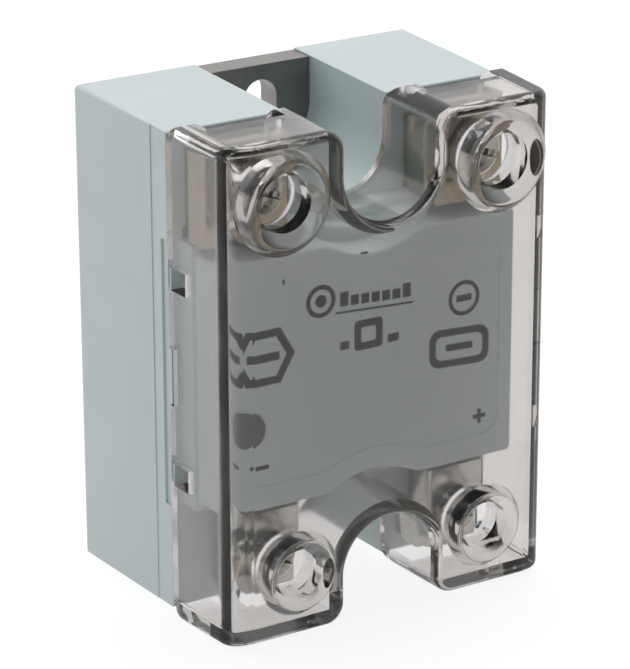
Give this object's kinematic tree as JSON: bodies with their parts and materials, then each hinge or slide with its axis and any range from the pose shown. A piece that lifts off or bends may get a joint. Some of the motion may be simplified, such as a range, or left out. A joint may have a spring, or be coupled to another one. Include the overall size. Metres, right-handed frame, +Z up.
{
  "type": "solid state relay",
  "caption": "Panel-mount solid state relay: pale moulded housing on a metal plate, end notches over screw slots, recessed clamp terminals, and a clear push-on cover.",
  "frame": {"origin": "centre of the mounting face, the rear of the metal plate", "axes": "+Z up the long side, with the load terminals at the top; -Y out of the front; +X to the right seen from the front"},
  "size_m": [0.0452, 0.0333, 0.0596],
  "materials": {
    "housing_shell": "matte",
    "plate_metal": "satin",
    "clear_cover": "polished, clear, slightly smoky",
    "lamp_lens": "gloss",
    "terminal_brass": "satin, plated",
    "screw_steel": "satin, plated",
    "ceramic": "matte",
    "copper": "satin",
    "silicon": "gloss",
    "board_green": "satin",
    "black_package": "matte",
    "resistor_body": "satin",
    "capacitor_body": "gloss",
    "varistor_body": "gloss",
    "lamp_resin": "gloss"
  },
  "bodies": {
    "relay_body": {"housing": "housing_shell", "base_plate": "plate_metal", "led_window": "lamp_lens", "ceramic_substrate": "ceramic", "copper_tracks": "copper", "thyristor_dies": "silicon", "cathode_straps": "copper", "gate_links": "copper", "control_board": "board_green", "opto_coupler": "black_package", "input_resistor": "resistor_body", "snubber_resistor": "resistor_body", "film_capacitor": "capacitor_body", "varistor": "varistor_body", "driver_transistor": "black_package", "status_led": "lamp_resin", "output_nuts": "screw_steel", "input_nuts": "screw_steel", "output_terminal_left": "terminal_brass", "output_terminal_right": "terminal_brass", "input_terminal_left": "terminal_brass", "input_terminal_right": "terminal_brass"},
    "cover": {"cover": "clear_cover"},
    "output_left_clamp": {"output_clamp_left": "terminal_brass", "output_washer_left": "screw_steel"},
    "output_left_screw": {"output_screw_left": "screw_steel"},
    "output_right_clamp": {"output_clamp_right": "terminal_brass", "output_washer_right": "screw_steel"},
    "output_right_screw": {"output_screw_right": "screw_steel"},
    "input_left_clamp": {"input_clamp_left": "terminal_brass", "input_washer_left": "screw_steel"},
    "input_left_screw": {"input_screw_left": "screw_steel"},
    "input_right_clamp": {"input_clamp_right": "terminal_brass", "input_washer_right": "screw_steel"},
    "input_right_screw": {"input_screw_right": "screw_steel"}
  },
  "joints": [
    {"name": "cover_release", "type": "slide", "parent": "relay_body", "child": "cover", "axis": [0, -1, 0], "range_m": [0, 0.02]},
    {"name": "output_left_clamp_travel", "type": "slide", "parent": "relay_body", "child": "output_left_clamp", "axis": [0, 1, 0], "range_m": [-0.00034, 0.00196]},
    {"name": "output_left_screw_turn", "type": "hinge", "parent": "output_left_clamp", "child": "output_left_screw", "pos_m": [-0.0144, -0.0257, 0.0225], "axis": [0, 1, 0], "range_deg": [-180, 1015]},
    {"name": "output_right_clamp_travel", "type": "slide", "parent": "relay_body", "child": "output_right_clamp", "axis": [0, 1, 0], "range_m": [-0.00034, 0.00196]},
    {"name": "output_right_screw_turn", "type": "hinge", "parent": "output_right_clamp", "child": "output_right_screw", "pos_m": [0.0144, -0.0257, 0.0225], "axis": [0, 1, 0], "range_deg": [-180, 1015]},
    {"name": "input_left_clamp_travel", "type": "slide", "parent": "relay_body", "child": "input_left_clamp", "axis": [0, 1, 0], "range_m": [-0.00029, 0.00194]},
    {"name": "input_left_screw_turn", "type": "hinge", "parent": "input_left_clamp", "child": "input_left_screw", "pos_m": [-0.0127, -0.0257, -0.0218], "axis": [0, 1, 0], "range_deg": [-216, 1404]},
    {"name": "input_right_clamp_travel", "type": "slide", "parent": "relay_body", "child": "input_right_clamp", "axis": [0, 1, 0], "range_m": [-0.00029, 0.00194]},
    {"name": "input_right_screw_turn", "type": "hinge", "parent": "input_right_clamp", "child": "input_right_screw", "pos_m": [0.0127, -0.0257, -0.0218], "axis": [0, 1, 0], "range_deg": [-216, 1404]}
  ],
  "couplings": [
    {"joint": "output_left_screw_turn", "follows": "output_left_clamp_travel", "rad_per_m": 8976},
    {"joint": "output_right_screw_turn", "follows": "output_right_clamp_travel", "rad_per_m": 8976},
    {"joint": "input_left_screw_turn", "follows": "input_left_clamp_travel", "rad_per_m": 12566},
    {"joint": "input_right_screw_turn", "follows": "input_right_clamp_travel", "rad_per_m": 12566}
  ]
}
